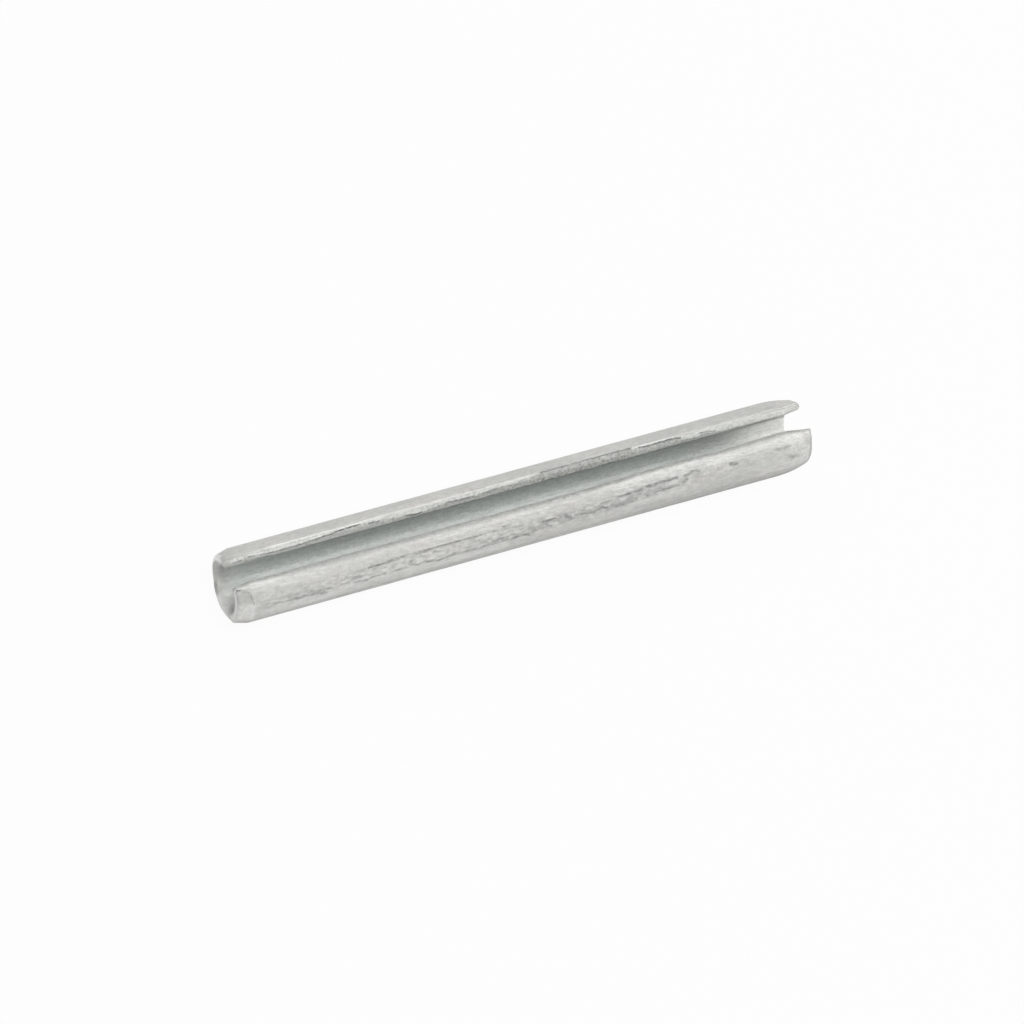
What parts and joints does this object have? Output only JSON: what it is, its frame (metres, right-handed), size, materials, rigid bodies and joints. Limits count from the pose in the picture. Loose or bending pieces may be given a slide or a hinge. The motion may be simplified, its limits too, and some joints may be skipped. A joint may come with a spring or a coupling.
{
  "type": "slotted spring roll pin",
  "caption": "Slotted spring pin rolled from steel strip, with a chamfered end and a crowned lead end. Driven into a drilled hole, its springy wall holds two parts together.",
  "frame": {"origin": "middle of the pin's axis", "axes": "+X along the axis, towards the crowned lead end that enters the hole first; +Z out through the middle of the slot"},
  "size_m": [0.055, 0.0066, 0.0062],
  "materials": {
    "zinc_plated_steel": "satin zinc plate over tumbled spring steel, with drawing lines along the pin and torn slot edges"
  },
  "bodies": {
    "root": {"spring_pin": "zinc_plated_steel"}
  },
  "joints": []
}
